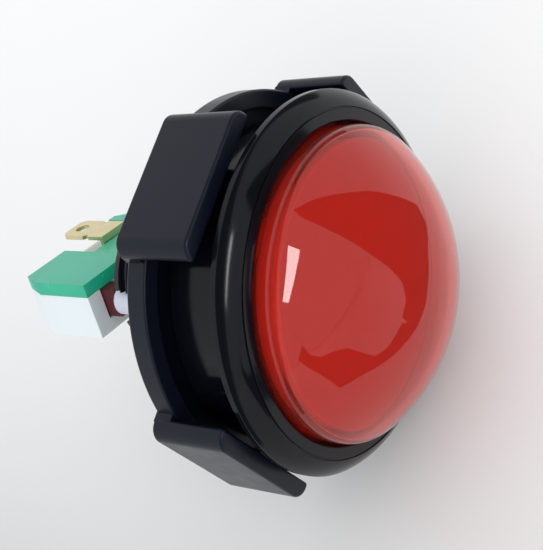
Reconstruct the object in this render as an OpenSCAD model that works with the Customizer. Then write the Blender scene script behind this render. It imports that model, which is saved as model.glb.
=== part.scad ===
// Dome push button for a panel: bezel and barrel, sprung dome, clamping nut, lamp and microswitch.
// Millimetres. +Z runs along the button axis towards the dome. The origin is on the axis at the
// seat under the bezel. +X runs along the long side of the microswitch, +Y to its cover.

/* [Bezel] */
// Outer diameter of the bezel
bezel_d = 60; // [58:0.5:64]
// Height of the upright rim above the panel
rim_h = 1.4; // [1:0.1:2]
// Diameter of the crease between the sloping band and the inner band
crease_d = 54.4; // [53:0.1:56]
// Width of the draft under the rim, outside the seat
rim_draft = 1; // [0.6:0.1:1.5]
// Height of the crease above the panel
crease_h = 3.8; // [3.4:0.1:4.2]
// Outward bow of the sloping band
band_bow = 0.3; // [0:0.05:0.5]
// Diameter of the opening around the dome
opening_d = 50.4; // [50.2:0.1:51.4]
// Height of the bezel at the opening
bezel_h = 4; // [3.8:0.1:4.4]
// Width and depth of the fine groove inside the crease
groove = 0.25; // [0.1:0.05:0.4]

/* [Barrel] */
// Outer diameter of the barrel that passes through the panel
barrel_d = 51.4; // [51:0.1:52]
// Length of the barrel behind the panel seat
barrel_l = 10.9; // [10:0.1:14]
// Thickness of the barrel wall
barrel_wall = 2.1; // [1.9:0.1:2.3]
// Thickness of the barrel floor
floor_t = 2; // [1.5:0.1:3]
// Height of the two fine ridges along the barrel
rib_h = 0.15; // [0.1:0.05:0.2]
// Width of the ridges
rib_w = 0.8; // [0.5:0.1:2]
// Angle of the ridges about the axis
rib_angle = 10.7; // [0:0.1:30]
// Width of the relief in the seat around the root of the barrel
relief_w = 0.9; // [0.8:0.1:1.2]
// Depth of that relief
relief_t = 0.4; // [0.2:0.1:0.6]

/* [Threaded tube] */
// Diameter over the thread
thread_d = 24; // [23.8:0.1:26]
// Distance from the panel seat to the end of the tube
tube_end = 35; // [34:0.5:38]
// Bore of the tube
tube_bore_d = 20.6; // [20.4:0.1:20.8]
// Height of the collar that centres the return spring
collar_h = 3; // [1:0.5:4]
// Thickness of that collar
collar_t = 1.2; // [0.8:0.1:1.5]

/* [Clamping nut] */
// Diameter of the ring of the nut
nut_d = 61.3; // [60:0.1:64]
// Height of the ring
nut_h = 3.6; // [3:0.1:5]
// Radial thickness of the ring wall
nut_wall = 3; // [2:0.1:3.4]
// Thickness of the web between ring and hub
nut_web = 1.8; // [1.2:0.1:2.4]
// Gap between barrel and ring with the nut screwed home
nut_gap = 0.2; // [0.1:0.05:1]
// Running clearance on the thread
thread_gap = 0.08; // [0.05:0.01:0.1]
// Outer diameter of the hub
hub_d = 31; // [29:0.5:36]
// Height of the hub behind the ring
hub_h = 3; // [1:0.5:6]
// Number of gussets behind the web
gusset_count = 8; // [4:1:12]
// Thickness of a gusset
gusset_t = 1.6; // [1:0.1:2.5]
// Distance across two opposite lug faces
lug_across = 64.2; // [61.5:0.1:66]
// Width of a lug
lug_w = 23.8; // [20:0.1:26]
// Thickness of a lug
lug_t = 3; // [2.4:0.1:3.4]
// Reach of the lugs in front of the ring
lug_l = 9.8; // [8:0.1:10.4]
// Radius of the lug edges
lug_r = 2.4; // [1:0.1:2.9]
// Chamfer of the lug tips
lug_chamfer = 0.9; // [0.3:0.1:1.2]
// Turn of the nut about the axis
nut_phase = 34; // [0:0.5:90]

/* [Dome] */
// Diameter of the dome at its skirt
dome_d = 49; // [48.4:0.1:49.2]
// Height of the dome above the panel
dome_top = 18.1; // [17:0.1:20]
// Radius of the spherical cap
dome_rho = 31.7; // [30:0.1:34]
// Wall thickness of the dome
dome_wall = 1.6; // [1.4:0.1:1.6]
// Radius of the shoulder
shoulder_r = 2.4; // [1.8:0.1:3]
// Height of the lower edge of the skirt above the panel
skirt_z = 2.2; // [2.1:0.1:2.5]
// Clearance between dome and bezel
dome_gap = 0.35; // [0.3:0.05:0.5]
// Number of hooks that hold the dome on the plunger
hook_count = 4; // [3:1:6]
// Width of a hook
hook_w = 6; // [4:0.5:8]
// Clearance around the hooks
hook_gap = 0.15; // [0.1:0.05:0.2]

/* [Plunger] */
// Travel of the button
travel = 2.2; // [1.5:0.1:2.3]
// Spare distance at the end of the travel
stop_gap = 0.2; // [0.1:0.05:0.4]
// Diameter of the plunger plate and of the diffuser
plate_d = 43.8; // [43:0.1:43.9]
// Thickness of the diffuser
diffuser_t = 1.2; // [0.8:0.1:1.5]
// Distance from the edge of the diffuser up to the inside of the dome
diffuser_gap = 1; // [0.8:0.1:3]
// Height of the rim of the plunger plate
plate_rim_h = 2.3; // [2:0.1:2.6]
// Thickness of the plunger plate and its ribs
plate_t = 1.2; // [1:0.1:1.6]
// Number of ribs under the plate
rib_count = 6; // [4:1:10]
// Outer diameter of the guide sleeve
sleeve_d = 20; // [19.8:0.05:20.1]
// Wall of the guide sleeve
sleeve_wall = 1.7; // [1.4:0.1:2]
// Distance from the panel seat to the end of the sleeve
sleeve_end = 22; // [21:0.5:23]
// Diameter of the finger that presses the microswitch
finger_d = 5; // [4:0.1:5.4]
// Distance of the finger from the axis
finger_x = 9.1; // [8.8:0.1:9.2]
// Side clearance of the finger in its slot
slot_gap = 0.3; // [0.2:0.05:0.5]
// Distance from the panel seat to the shoulder of the finger
finger_top = 19.9; // [19:0.1:20.5]
// Reach of the finger past the end of the tube
finger_reach = 2.2; // [2:0.1:3]

/* [Springs] */
// Wire of the return spring
wire_d = 0.9; // [0.6:0.1:1.2]
// Mean diameter of the return spring
coil_d = 26; // [25:0.5:34]
// Turns of the return spring
coil_turns = 5.5; // [4:0.5:7]
// Wire of the switch spring
switch_wire_d = 0.35; // [0.2:0.05:0.5]
// Mean diameter of the switch spring
switch_coil_d = 2.4; // [1.8:0.1:2.6]
// Turns of the switch spring
switch_turns = 4.5; // [4:0.5:5]

/* [Lamp] */
// Clearance of the lamp holder in the tube
holder_gap = 0.2; // [0.1:0.05:0.3]
// Depth of the lamp holder inside the tube
holder_depth = 9.6; // [8:0.1:10.4]
// Thickness of the holder flange
flange_t = 1; // [0.8:0.1:1.5]
// Diameter of the holder flange
flange_d = 23.6; // [22:0.1:23.8]
// Diameter of the holder boss
boss_d = 18.8; // [18:0.1:20]
// Height of the holder boss behind its flange
boss_h = 1.8; // [1:0.1:2]
// Diameter of the lamp body
lamp_d = 9.6; // [9:0.1:10.4]
// Height of the lamp body above the holder
lamp_h = 8.4; // [6:0.1:9]
// Diameter of the lamp lens
lens_d = 9; // [8:0.1:9.4]
// Height of the lamp lens
lens_h = 8; // [6:0.1:9]
// Width of the wedge foot of the lamp
wedge_w = 9; // [8:0.1:9.2]
// Thickness of the wedge foot
wedge_t = 2.2; // [2:0.1:2.4]
// Length of the wedge foot
wedge_l = 8; // [6:0.1:8.4]
// Thickness of the lamp contacts
strip_t = 0.4; // [0.3:0.05:0.6]
// Length of the tabs on the lamp contacts
lug_reach = 6; // [4:0.5:7]

/* [Microswitch] */
// Length of the switch case
switch_l = 27.8; // [27:0.1:29]
// Height of the switch case along the button axis
switch_h = 15.9; // [15:0.1:17]
// Thickness of case and cover together
switch_t = 10.3; // [10:0.1:11]
// Thickness of the cover
cover_t = 2.4; // [1.6:0.1:3]
// Wall of the switch case
case_wall = 1.3; // [1:0.1:1.4]
// Distance of the actuator from the near end of the case
actuator_inset = 4.8; // [4.6:0.1:5]
// Width of the actuator along the case
actuator_w = 3; // [2.6:0.1:3.4]
// Breadth of the actuator across the case
actuator_b = 5.4; // [4.8:0.1:5.6]
// Reach of the actuator out of the case
actuator_reach = 3; // [2.6:0.1:3.4]
// Gap between finger and actuator at rest
press_gap = 0.1; // [0.05:0.05:0.3]
// Diameter of the two fixing holes
fixing_d = 3.1; // [2.9:0.1:3.3]
// Distance of the fixing holes from the case edges
fixing_inset = 2.8; // [2.6:0.1:3]
// Length of the corner chamfers along the button axis
corner_h = 4.2; // [2:0.1:5]
// Length of the corner chamfers along the case
corner_l = 1.9; // [1:0.1:2.5]
// Distance from the near end of the case to the cover recess
recess_inset = 11.8; // [11:0.1:12.5]
// Width of the cover recess
recess_w = 12.4; // [11:0.1:12.6]
// Depth of the cover recess
recess_h = 7.6; // [7:0.1:8]

/* [Contacts] */
// Width of the common tab
tab_w = 6.3; // [6:0.1:6.6]
// Thickness of the common tab
tab_t = 0.8; // [0.6:0.1:1]
// Reach of the common tab behind the case
tab_reach = 3.2; // [3:0.1:6]
// Height of the common tab above the cover
tab_rise = 1.4; // [0.3:0.1:1.8]
// Diameter of the hole in the common tab
tab_hole_d = 2.6; // [1.8:0.1:2.8]
// Distance of that hole from the end of the tab
tab_hole_inset = 2.7; // [2.4:0.1:3.2]
// Distance of the notches from the end of the tab
notch_inset = 6.2; // [5:0.1:7]
// Reach of the two lower tabs behind the case
low_reach = 5.6; // [5:0.1:8]
// Width of the two lower tabs
low_tab_w = 4.8; // [4:0.1:5]
// Thickness of the two lower tabs
low_tab_t = 0.5; // [0.4:0.1:0.6]
// Diameter of the holes in the lower tabs and the lamp contacts
small_hole_d = 1.8; // [1.4:0.1:2.2]
// Thickness of the rocker
rocker_t = 0.4; // [0.3:0.05:0.5]
// Breadth of the rocker
rocker_b = 3.2; // [2.6:0.1:3.4]
// Diameter of the silver contacts
rivet_d = 2.4; // [2:0.1:2.6]
// Opening between the moving contact and the normally open contact
contact_gap = 0.6; // [0.4:0.05:0.7]
// Distance from the recess to the knife edge of the rocker
pivot_inset = 3.6; // [3.2:0.1:4]
// Distance from the knife edge to the silver contacts
arm_l = 8; // [7.6:0.1:8.4]
// Distance from the ends of the lower tabs to their holes
low_hole_inset = 2.6; // [2:0.1:3]

/* [Hidden] */
$fn = 96;
small = 0.4;
bezel_r = bezel_d / 2;
crease_r = crease_d / 2;
barrel_r = barrel_d / 2;
inner_r = barrel_r - barrel_wall;
dome_r = dome_d / 2;
dome_bore_r = dome_r + dome_gap;
bore_r = tube_bore_d / 2;
thread_r = thread_d / 2;
floor_z = -barrel_l + floor_t;
ledge_z = skirt_z - travel - stop_gap;
ring_z = -barrel_l - nut_gap;
nut_z = ring_z - nut_h;
web_z = nut_z + nut_web;
nut_r = nut_d / 2;
nut_bore_r = thread_r + thread_gap;
hub_r = hub_d / 2;
hub_z = nut_z - hub_h;
lug_r_out = lug_across / 2;
lug_r_in = lug_r_out - lug_t;
dome_zc = dome_top - dome_rho;
shoulder_x = dome_r - shoulder_r;
shoulder_z = dome_zc + sqrt(pow(dome_rho - shoulder_r, 2) - pow(shoulder_x, 2));
shoulder_a = atan2(shoulder_z - dome_zc, shoulder_x);
plate_r = plate_d / 2;
diffuser_z = dome_zc + sqrt(pow(dome_rho - dome_wall, 2) - pow(plate_r, 2)) - diffuser_gap;
plate_z = diffuser_z - diffuser_t;
plate_low = plate_z - plate_rim_h;
sleeve_r = sleeve_d / 2;
holder_z = -tube_end;
finger_end = tube_end + finger_reach;
boss_z = holder_z - flange_t - boss_h;
lamp_z = holder_z + holder_depth;
lamp_top = lamp_z + lamp_h;
case_z = -finger_end - press_gap - actuator_reach;
case_rear = case_z - switch_h;
near_x = -switch_l / 2;
far_x = switch_l / 2;
cover_y = switch_t / 2;
tray_y = cover_y - cover_t;
actuator_x = near_x + actuator_inset;
recess_x = near_x + recess_inset;
recess_z = case_rear + recess_h;
hole_near = [near_x + fixing_inset, case_rear + fixing_inset];
hole_far = [far_x - fixing_inset, case_z - fixing_inset];
leg_z = recess_z - 0.2;
rocker_z = leg_z + 0.9 + rocker_t;
pivot_x = recess_x + pivot_inset;
rivet_x = pivot_x + arm_l;
rivet_h = 0.6;
shank_d = rivet_d / 2;
contact_z = rocker_z - rocker_t - rivet_h;
tab_x = recess_x + recess_w / 2;

// Points along an arc about c from angle a to angle b.
function arc(c, r, a, b, n) = [for (i = [0:n]) c + r * [cos(a + (b - a) * i / n), sin(a + (b - a) * i / n)]];

// Points along a chord from p to q, bowed to its right-hand side by s.
function bowed(p, q, s, n) = let (d = q - p, m = [d[1], -d[0]] / norm(d))
    [for (i = [0:n]) p + d * i / n + m * s * 4 * (i / n) * (1 - i / n)];

// A round wire wound about the Z axis from z0 to z1 with one closed turn at each end.
module coil(mean_d, wire, turns, z0, z1) {
    per_turn = 18;
    sides = 8;
    steps = round(turns * per_turn);
    active = (z1 - z0 - wire - 2 * wire * 1.02) / (turns - 2);
    function rise(u) = u < 1 ? wire * 1.02 * u
        : u > turns - 1 ? wire * 1.02 * (u - turns + 2) + active * (turns - 2)
        : wire * 1.02 + active * (u - 1);
    points = [for (i = [0:steps], k = [0:sides - 1])
        let (u = turns * i / steps, a = 360 * u, b = 360 * k / sides, r = mean_d / 2 + wire / 2 * cos(b))
            [r * cos(a), r * sin(a), z0 + wire / 2 + rise(u) + wire / 2 * sin(b)]];
    skin = [for (i = [0:steps - 1], k = [0:sides - 1])
        let (j = (k + 1) % sides, p = i * sides, q = p + sides) [p + k, q + k, q + j, p + j]];
    first = [[for (k = [0:sides - 1]) k]];
    last = [[for (k = [sides - 1:-1:0]) steps * sides + k]];
    polyhedron(points, concat(skin, first, last), convexity = 6);
}

// A box from corner a to corner b.
module block(a, b) {
    translate(a) cube(b - a);
}

// Bezel, barrel and threaded tube, moulded in one.
module housing() {
    color("#2a2b30") difference() {
        union() {
            rotate_extrude() polygon(concat(
                [[bore_r, holder_z], [thread_r - small, holder_z], [thread_r, holder_z + small],
                    [thread_r, -barrel_l], [barrel_r - small, -barrel_l], [barrel_r, -barrel_l + small],
                    [barrel_r, relief_t], [barrel_r + relief_w, relief_t], [barrel_r + relief_w, 0],
                    [bezel_r - rim_draft, 0], [bezel_r, small]],
                bowed([bezel_r, rim_h], [crease_r, crease_h], band_bow, 8),
                [[crease_r, crease_h - groove], [crease_r - groove, crease_h - groove],
                    [crease_r - groove, crease_h], [opening_d / 2, bezel_h],
                    [dome_bore_r, bezel_h - small], [dome_bore_r, ledge_z], [inner_r, ledge_z],
                    [inner_r, floor_z], [bore_r + collar_t, floor_z],
                    [bore_r + collar_t, floor_z + collar_h], [bore_r, floor_z + collar_h]]));
            for (a = [rib_angle, rib_angle + 180])
                rotate(a) block([barrel_r - barrel_wall / 2, -rib_w / 2, -barrel_l + 2 * small],
                    [barrel_r + rib_h, rib_w / 2, relief_t + 0.1]);
        }
        // Slot that guides the finger of the plunger
        block([-thread_r - 1, -finger_d / 2 - slot_gap, holder_z - 1],
            [-sleeve_r + 2, finger_d / 2 + slot_gap, -finger_top + slot_gap]);
    }
}

// Section of one lug with rounded edges, its outer face at +X.
module lug_section() {
    x = lug_r_out - lug_r;
    y = lug_w / 2 - lug_r;
    polygon(concat([[lug_r_in, -lug_w / 2]], arc([x, -y], lug_r, -90, 0, 6),
        arc([x, y], lug_r, 0, 90, 6), [[lug_r_in, lug_w / 2]]));
}

// Clamping nut: hub, web, ring and four lugs that press on the panel.
module nut() {
    color("#2d323c") union() {
        rotate_extrude() polygon([[nut_bore_r, hub_z], [hub_r - small, hub_z], [hub_r, hub_z + small],
            [hub_r, nut_z], [nut_r - small, nut_z], [nut_r, nut_z + small], [nut_r, ring_z - small / 2],
            [nut_r - small / 2, ring_z], [nut_r - nut_wall, ring_z], [nut_r - nut_wall, web_z],
            [nut_bore_r, web_z]]);
        for (i = [0:gusset_count - 1])
            rotate(nut_phase + 360 * i / gusset_count) translate([0, gusset_t / 2, 0])
                rotate([90, 0, 0]) linear_extrude(gusset_t)
                    polygon([[hub_r - 1, hub_z + 2 * small], [hub_r + 1, hub_z + 2 * small],
                        [nut_r - nut_wall, nut_z + small], [nut_r - nut_wall, nut_z + 1],
                        [hub_r - 1, nut_z + 1]]);
        for (i = [0:3]) rotate(nut_phase + 90 * i) {
            difference() {
                translate([0, 0, nut_z]) linear_extrude(nut_h + lug_l) lug_section();
                translate([lug_r_out, -lug_w, ring_z + lug_l]) rotate([0, 45, 0])
                    cube([lug_chamfer * sqrt(2), lug_w * 4, lug_chamfer * sqrt(2)], center = true);
            }
            block([nut_r - nut_wall + small, -lug_w / 2, nut_z + 2 * small],
                [lug_r_in + small, lug_w / 2, ring_z - small]);
        }
    }
}

// Clear dome with a rounded shoulder, a short skirt and hooks that grip the plunger plate.
module dome_lens() {
    color("#c02a22", 0.6) union() {
        rotate_extrude() polygon(concat(
            arc([0, dome_zc], dome_rho, 90, shoulder_a, 24),
            arc([shoulder_x, shoulder_z], shoulder_r, shoulder_a, 0, 6),
            [[dome_r, skirt_z], [dome_r - dome_wall, skirt_z]],
            arc([shoulder_x, shoulder_z], shoulder_r - dome_wall, 0, shoulder_a, 4),
            arc([0, dome_zc], dome_rho - dome_wall, shoulder_a, 90, 24)));
        for (i = [0:hook_count - 1]) rotate(45 + 360 * i / hook_count) intersection() {
            rotate_extrude() polygon([[plate_r + hook_gap, skirt_z + 1], [plate_r + hook_gap, plate_low - hook_gap],
                [plate_r - 0.6, plate_low - hook_gap], [plate_r - 0.6, plate_low - 0.7],
                [plate_r - 0.2, plate_low - 1.2], [inner_r - 0.3, plate_low - 1.2], [inner_r - 0.3, skirt_z + 1]]);
            block([0, -hook_w / 2, -5], [dome_r, hook_w / 2, 10]);
        }
    }
}

// Diffuser disc on the plunger plate.
module diffuser() {
    color("#e8dcd8") rotate_extrude() polygon([[0, plate_z], [plate_r - small / 2, plate_z],
        [plate_r, plate_z + small / 2], [plate_r, diffuser_z - small / 2], [plate_r - small / 2, diffuser_z],
        [0, diffuser_z]]);
}

// Plunger: ribbed plate, guide sleeve and the finger that presses the microswitch.
module plunger() {
    color("#dfe2ee") union() {
        rotate_extrude() polygon([[sleeve_r - sleeve_wall, -sleeve_end], [sleeve_r - small, -sleeve_end],
            [sleeve_r, -sleeve_end + small], [sleeve_r, plate_z - plate_t], [plate_r - 1.5, plate_z - plate_t],
            [plate_r - 1.5, plate_low], [plate_r, plate_low], [plate_r, plate_z],
            [sleeve_r - sleeve_wall, plate_z]]);
        for (i = [0:rib_count - 1]) rotate(360 * (i + 0.5) / rib_count)
            block([sleeve_r - 0.5, -plate_t / 2, plate_low + small], [plate_r - 1, plate_t / 2, plate_z - plate_t / 2]);
        translate([-finger_x, 0, -finger_end]) cylinder(d = finger_d, h = finger_end - finger_top);
    }
}

// Return spring between the barrel floor and the ribs of the plunger plate.
module return_spring() {
    color("#b9bcc2") coil(coil_d, wire_d, coil_turns, floor_z, plate_low);
}

// Lamp holder that closes the tube, with the bracket that carries the microswitch.
module lamp_holder() {
    bracket_y = -cover_y - 0.1;
    color("#1c1c20") difference() {
        union() {
            translate([0, 0, holder_z - small]) cylinder(r = bore_r - holder_gap, h = holder_depth + small);
            translate([0, 0, holder_z - flange_t]) cylinder(d = flange_d, h = flange_t);
            translate([0, 0, boss_z]) cylinder(d = boss_d, h = boss_h + small);
            // Bracket plate with a peg for the far fixing hole and a lip behind the case
            block([recess_x + 1, bracket_y - 1.5, case_z - 5.5], [far_x, bracket_y, boss_z + small]);
            block([recess_x + 3.5, bracket_y - 1.5, case_rear - 1.4], [recess_x + 8.5, bracket_y, case_z - 5]);
            block([recess_x + 3.5, bracket_y - 1.5, case_rear - 1.4],
                [recess_x + 8.5, bracket_y + 1.3, case_rear - 0.15]);
            block([recess_x + 1, bracket_y - 1.5, boss_z], [8, bracket_y + 1, holder_z - small]);
            translate([hole_far[0], bracket_y - 0.5, hole_far[1]]) rotate([-90, 0, 0])
                cylinder(d = fixing_d - 0.2, h = 6.5);
        }
        // Slot for the rear lamp contact
        block([1, bracket_y - 2, boss_z - 0.6], [4.8, bracket_y + 1.5, boss_z]);
        // Channel for the finger of the plunger, open towards the near end of the switch
        block([-flange_d, -actuator_b / 2 - slot_gap, boss_z - 1],
            [-finger_x + finger_d / 2 + slot_gap, actuator_b / 2 + slot_gap, lamp_z + 1]);
        // Socket for the wedge foot and the two contacts
        block([-wedge_w / 2 - 0.2, -wedge_t / 2 - strip_t - 0.1, lamp_z - wedge_l - 0.5],
            [wedge_w / 2 + 0.2, wedge_t / 2 + strip_t + 0.1, lamp_z + 1]);
        for (s = [-1, 1])
            block([1.1, s > 0 ? wedge_t / 2 - 0.05 : -wedge_t / 2 - strip_t - 0.1, boss_z - 1],
                [4.7, s > 0 ? wedge_t / 2 + strip_t + 0.1 : -wedge_t / 2 + 0.05, lamp_z - wedge_l]);
    }
}

// Wedge-foot lamp body.
module lamp_base() {
    color("#e9e9ec") union() {
        translate([0, 0, lamp_z]) cylinder(d = lamp_d, h = lamp_h);
        block([-wedge_w / 2, -wedge_t / 2, lamp_z - wedge_l], [wedge_w / 2, wedge_t / 2, lamp_z + 1]);
    }
}

// Clear lens of the lamp.
module lamp_lens() {
    color("#f2f4f8", 0.6) rotate_extrude() polygon(concat([[0, lamp_top], [lens_d / 2, lamp_top]],
        arc([0, lamp_top + lens_h - lens_d / 2], lens_d / 2, 0, 90, 16)));
}

// Brass strip beside the wedge foot, led out to a tab beside the switch. side is +1 or -1.
module lamp_contact(side) {
    y_in = wedge_t / 2;
    y_out = cover_y + 2.6;
    color("#cdb463") scale([1, side, 1]) difference() {
        union() {
            block([1.2, y_in, boss_z - strip_t], [4.6, y_in + strip_t, lamp_z - 1.5]);
            block([1.2, y_in, boss_z - strip_t], [4.6, y_out, boss_z]);
            block([1.2, y_out - strip_t, boss_z - lug_reach], [6, y_out, boss_z]);
        }
        translate([3.6, y_out + 1, boss_z - lug_reach + 2]) rotate([90, 0, 0]) cylinder(d = small_hole_d, h = 3);
    }
}

module lamp_contact_front() {
    lamp_contact(1);
}

module lamp_contact_back() {
    lamp_contact(-1);
}

// Outline of the switch seen from its cover, in X and Z, with chamfered rear corners.
module case_outline() {
    polygon([[near_x, case_z], [near_x, case_rear + corner_h], [near_x + corner_l, case_rear],
        [far_x - corner_l, case_rear], [far_x, case_rear + corner_h], [far_x, case_z]]);
}

// Extrudes an X and Z outline from y0 to y1.
module slab(y0, y1) {
    translate([0, y1, 0]) rotate([90, 0, 0]) linear_extrude(y1 - y0) children();
}

// Pale tray of the switch, open to the cover, with slots for the actuator and the tabs.
module switch_case() {
    color("#dfe1ea") difference() {
        union() {
            difference() {
                slab(-cover_y, tray_y) case_outline();
                slab(-cover_y + case_wall, tray_y + 1)
                    polygon([[near_x + case_wall, case_z - case_wall],
                        [near_x + case_wall, case_rear + corner_h + case_wall / 2],
                        [near_x + corner_l + case_wall, case_rear + case_wall],
                        [far_x - corner_l - case_wall, case_rear + case_wall],
                        [far_x - case_wall, case_rear + corner_h + case_wall / 2],
                        [far_x - case_wall, case_z - case_wall]]);
            }
            // Roof under the cover recess, and the bosses of the fixing holes
            block([recess_x - 0.6, tray_y - case_wall, case_rear + case_wall / 2],
                [recess_x + recess_w + 0.6, tray_y, leg_z - tab_t - 0.1]);
            for (h = [hole_near, hole_far]) intersection() {
                slab(-cover_y + case_wall / 2, tray_y) translate(h) circle(d = fixing_d + 1.4);
                slab(-cover_y, tray_y) case_outline();
            }
        }
        for (h = [hole_near, hole_far]) slab(-cover_y - 1, tray_y + 1) translate(h) circle(d = fixing_d);
        block([actuator_x - actuator_w / 2 - 0.2, -actuator_b / 2 - 0.2, case_z - case_wall - 1],
            [actuator_x + actuator_w / 2 + 0.2, actuator_b / 2 + 0.2, case_z + 1]);
        // Slots for the two lower tabs
        block([rivet_x - low_tab_w + 1.4, -low_tab_t / 2 - 0.05, case_rear - 1],
            [rivet_x + 1.6, low_tab_t / 2 + 0.05, case_rear + case_wall + 1]);
        block([far_x - 2.1 - low_tab_t - 0.05, -3.45, case_rear - 1],
            [far_x - 2.1 + 0.05, -3.35 + low_tab_w, case_rear + 6]);
    }
}

// Translucent green cover with the recess for the common tab.
module switch_cover() {
    color("#3cc79c") difference() {
        slab(tray_y, cover_y) case_outline();
        block([recess_x, tray_y - 1, case_rear - 1], [recess_x + recess_w, cover_y + 1, recess_z]);
        slab(tray_y - 1, cover_y + 1) translate(hole_far) circle(d = fixing_d);
    }
}

// Dark red actuator with its shoulder behind the case wall.
module switch_actuator() {
    reach = case_z + actuator_reach;
    inner = case_z - case_wall - 0.1;
    color("#6e1a24") union() {
        block([actuator_x - actuator_w / 2, -actuator_b / 2, inner - 0.5],
            [actuator_x + actuator_w / 2, actuator_b / 2, reach]);
        block([actuator_x - actuator_w / 2 - 0.7, -actuator_b / 2, inner - 1.4],
            [actuator_x + actuator_w / 2 + 0.7, actuator_b / 2, inner]);
    }
}

// Spring from the actuator to the rocker.
module switch_spring() {
    color("#b9bcc2") translate([actuator_x, 0, 0])
        coil(switch_coil_d, switch_wire_d, switch_turns, rocker_z + 0.05, case_z - case_wall - 1.55);
}

// Rocker that carries the moving contact.
module rocker() {
    color("#c08a4e") difference() {
        block([actuator_x - 1.9, -rocker_b / 2, rocker_z - rocker_t],
            [rivet_x + rivet_d / 2 + 0.3, rocker_b / 2, rocker_z]);
        translate([rivet_x, 0, rocker_z - 1]) cylinder(d = shank_d + 0.1, h = 2);
    }
}

// Double-headed silver contact on the rocker.
module moving_contact() {
    color("#d8dade") union() {
        translate([rivet_x, 0, rocker_z]) cylinder(d = rivet_d, h = rivet_h);
        translate([rivet_x, 0, contact_z]) cylinder(d = rivet_d, h = rivet_h);
        translate([rivet_x, 0, contact_z]) cylinder(d = shank_d, h = rivet_h * 2 + rocker_t);
    }
}

// Common tab: knife edge for the rocker, leg and bent tab with a hole and two notches.
module terminal_common() {
    top = cover_y + tab_rise;
    end = case_rear - tab_reach;
    color("#dccf9a") difference() {
        union() {
            block([pivot_x - 0.4, -rocker_b / 2, leg_z - tab_t / 2],
                [pivot_x + 0.4, tray_y - case_wall, rocker_z - rocker_t - 0.05]);
            block([tab_x - tab_w / 2, -rocker_b / 2, leg_z - tab_t], [pivot_x + 2.4, tray_y, leg_z]);
            block([tab_x - tab_w / 2, tray_y - case_wall, leg_z - tab_t], [tab_x + tab_w / 2, top, leg_z]);
            slab(top - tab_t, top) polygon([[tab_x - tab_w / 2, leg_z], [tab_x - tab_w / 2, end + 1],
                [tab_x - tab_w / 2 + 1, end], [tab_x + tab_w / 2 - 1, end], [tab_x + tab_w / 2, end + 1],
                [tab_x + tab_w / 2, leg_z]]);
        }
        slab(top - 2, top + 1) translate([tab_x, end + tab_hole_inset]) circle(d = tab_hole_d);
        for (s = [-1, 1])
            slab(top - 2, top + 1) translate([tab_x + s * tab_w / 2, end + notch_inset]) circle(d = 1.2);
    }
}

// Normally open tab along the far wall, with its pad in front of the moving contact.
module terminal_no() {
    pad = rocker_z + rivet_h + contact_gap + 0.4;
    end = case_rear - low_reach;
    color("#d2bd78") difference() {
        union() {
            block([far_x - 2.1 - low_tab_t, -3.4, end], [far_x - 2.1, -3.4 + low_tab_w, pad + low_tab_t]);
            block([rivet_x - rivet_d / 2, -rocker_b / 2, pad], [far_x - 2.1, 1.4, pad + low_tab_t]);
        }
        translate([far_x, -3.4 + low_tab_w / 2, end + low_hole_inset]) rotate([0, -90, 0])
            cylinder(d = small_hole_d, h = 4);
    }
}

// Normally closed tab, with its pad behind the moving contact.
module terminal_nc() {
    pad = contact_z - 0.05 - rivet_h;
    end = case_rear - low_reach;
    left = rivet_x - low_tab_w + 1.5;
    color("#d2bd78") difference() {
        union() {
            block([rivet_x - rivet_d / 2, -rocker_b / 2, pad - low_tab_t], [rivet_x + 1.2, 1.3, pad]);
            block([left, -low_tab_t / 2, end], [left + low_tab_w, low_tab_t / 2, pad - low_tab_t / 2]);
        }
        slab(-2, 2) translate([left + low_tab_w / 2, end + low_hole_inset]) circle(d = small_hole_d);
    }
}

// Fixed silver contacts.
module contact_no() {
    color("#d8dade") translate([rivet_x, 0, rocker_z + rivet_h + contact_gap]) cylinder(d = rivet_d, h = 0.4);
}

module contact_nc() {
    color("#d8dade") translate([rivet_x, 0, contact_z - 0.05 - rivet_h]) cylinder(d = rivet_d, h = rivet_h);
}

housing();
nut();
dome_lens();
diffuser();
plunger();
return_spring();
lamp_holder();
lamp_base();
lamp_lens();
lamp_contact_front();
lamp_contact_back();
switch_case();
switch_cover();
switch_actuator();
switch_spring();
rocker();
moving_contact();
terminal_common();
terminal_no();
terminal_nc();
contact_no();
contact_nc();
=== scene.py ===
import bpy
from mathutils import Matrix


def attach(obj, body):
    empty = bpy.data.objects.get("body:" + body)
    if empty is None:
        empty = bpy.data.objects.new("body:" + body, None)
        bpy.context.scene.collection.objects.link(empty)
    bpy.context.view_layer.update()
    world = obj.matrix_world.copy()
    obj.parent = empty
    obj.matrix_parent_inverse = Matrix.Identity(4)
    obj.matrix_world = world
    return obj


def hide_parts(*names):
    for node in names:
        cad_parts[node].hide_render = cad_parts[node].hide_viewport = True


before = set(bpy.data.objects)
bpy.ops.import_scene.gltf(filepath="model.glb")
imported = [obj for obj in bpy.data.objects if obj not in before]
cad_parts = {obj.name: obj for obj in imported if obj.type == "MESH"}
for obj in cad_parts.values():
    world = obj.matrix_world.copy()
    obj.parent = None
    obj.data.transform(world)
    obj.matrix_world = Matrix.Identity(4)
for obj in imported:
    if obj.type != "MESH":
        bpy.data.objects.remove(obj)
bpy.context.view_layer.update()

import bmesh
import bpy
import math
from mathutils import Matrix, Vector

mm = 0.001
collection = bpy.context.scene.collection
print("frame loaded:", len(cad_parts), "nodes")


# small helpers

def objectFrom(bm, name):
    bmesh.ops.recalc_face_normals(bm, faces=bm.faces)
    mesh = bpy.data.meshes.new(name)
    bm.to_mesh(mesh)
    bm.free()
    obj = bpy.data.objects.new(name, mesh)
    collection.objects.link(obj)
    return obj


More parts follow.
